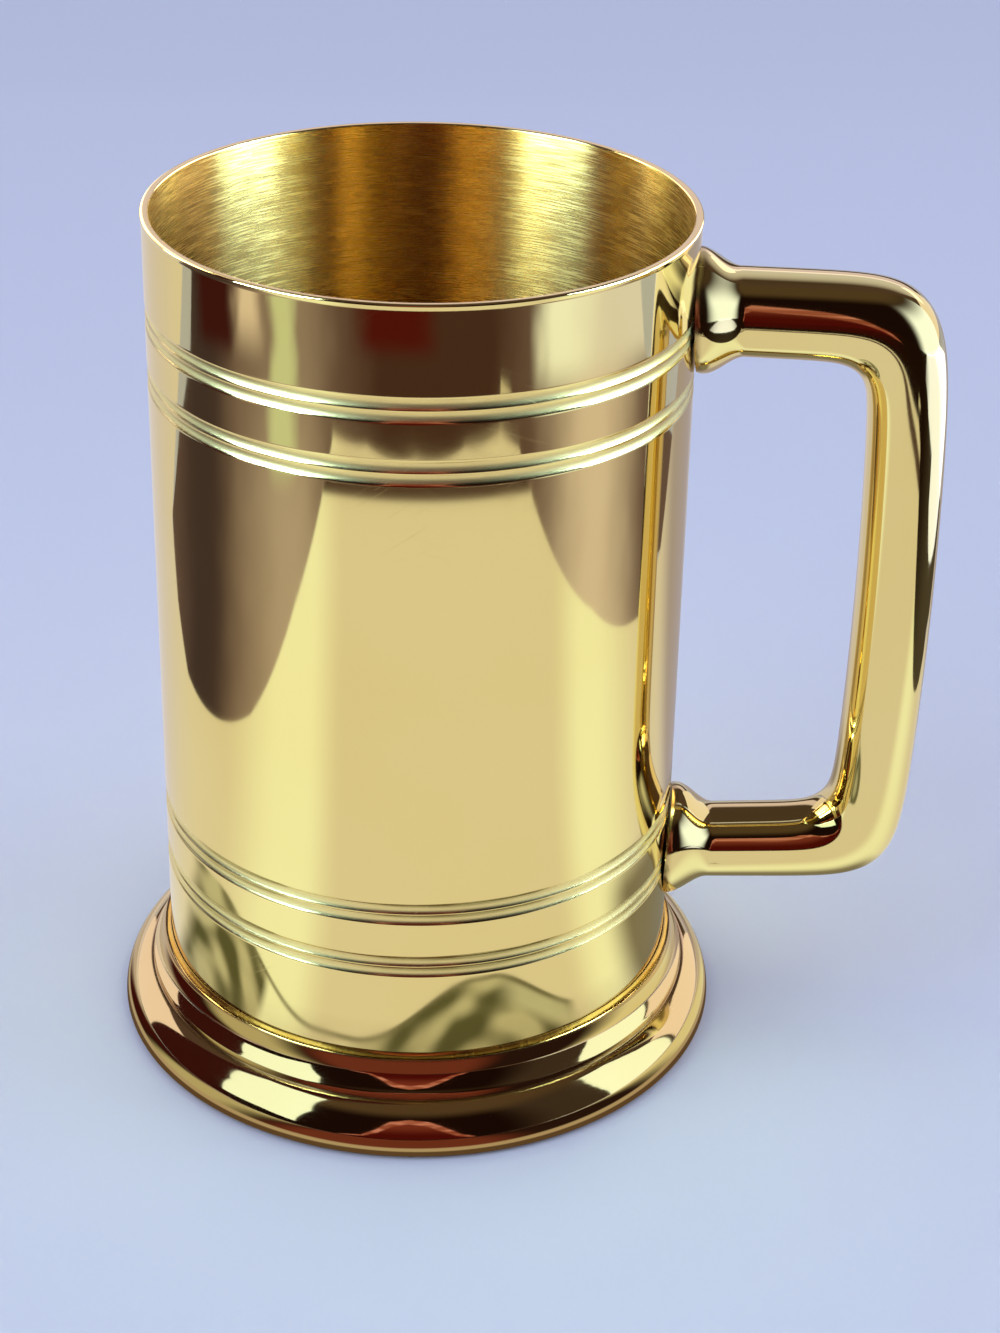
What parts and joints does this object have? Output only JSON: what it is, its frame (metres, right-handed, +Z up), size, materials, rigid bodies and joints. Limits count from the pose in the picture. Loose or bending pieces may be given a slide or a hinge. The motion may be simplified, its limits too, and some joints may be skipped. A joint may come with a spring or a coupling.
{
  "type": "tankard",
  "caption": "Straight-sided brass tankard with grooved bands, a spun moulded foot and a squared cast handle screwed on through trumpet bosses.",
  "frame": {"origin": "middle of the footprint's bounding box, on the plane of the table", "axes": "+Z up along the axis of the barrel, +X towards the handle, +Y completes a right-handed frame"},
  "size_m": [0.1258, 0.0954, 0.1333],
  "materials": {
    "barrel_brass": "mirror polished outside, satin brushed round the bore",
    "foot_brass": "mirror polished, warmer and slightly coppery",
    "handle_brass": "polished casting with faint pits",
    "floor_brass": "satin, turned rings",
    "solder": "wiped brazing fillet, orange gold",
    "screw_brass": "turned, slightly dulled",
    "washer_brass": "pressed, slightly dulled"
  },
  "bodies": {
    "root": {"barrel": "barrel_brass", "foot_ring": "foot_brass", "handle": "handle_brass", "cup_floor": "floor_brass", "foot_solder_seam": "solder", "upper_screw": "screw_brass", "lower_screw": "screw_brass", "upper_washer": "washer_brass", "lower_washer": "washer_brass"}
  },
  "joints": []
}
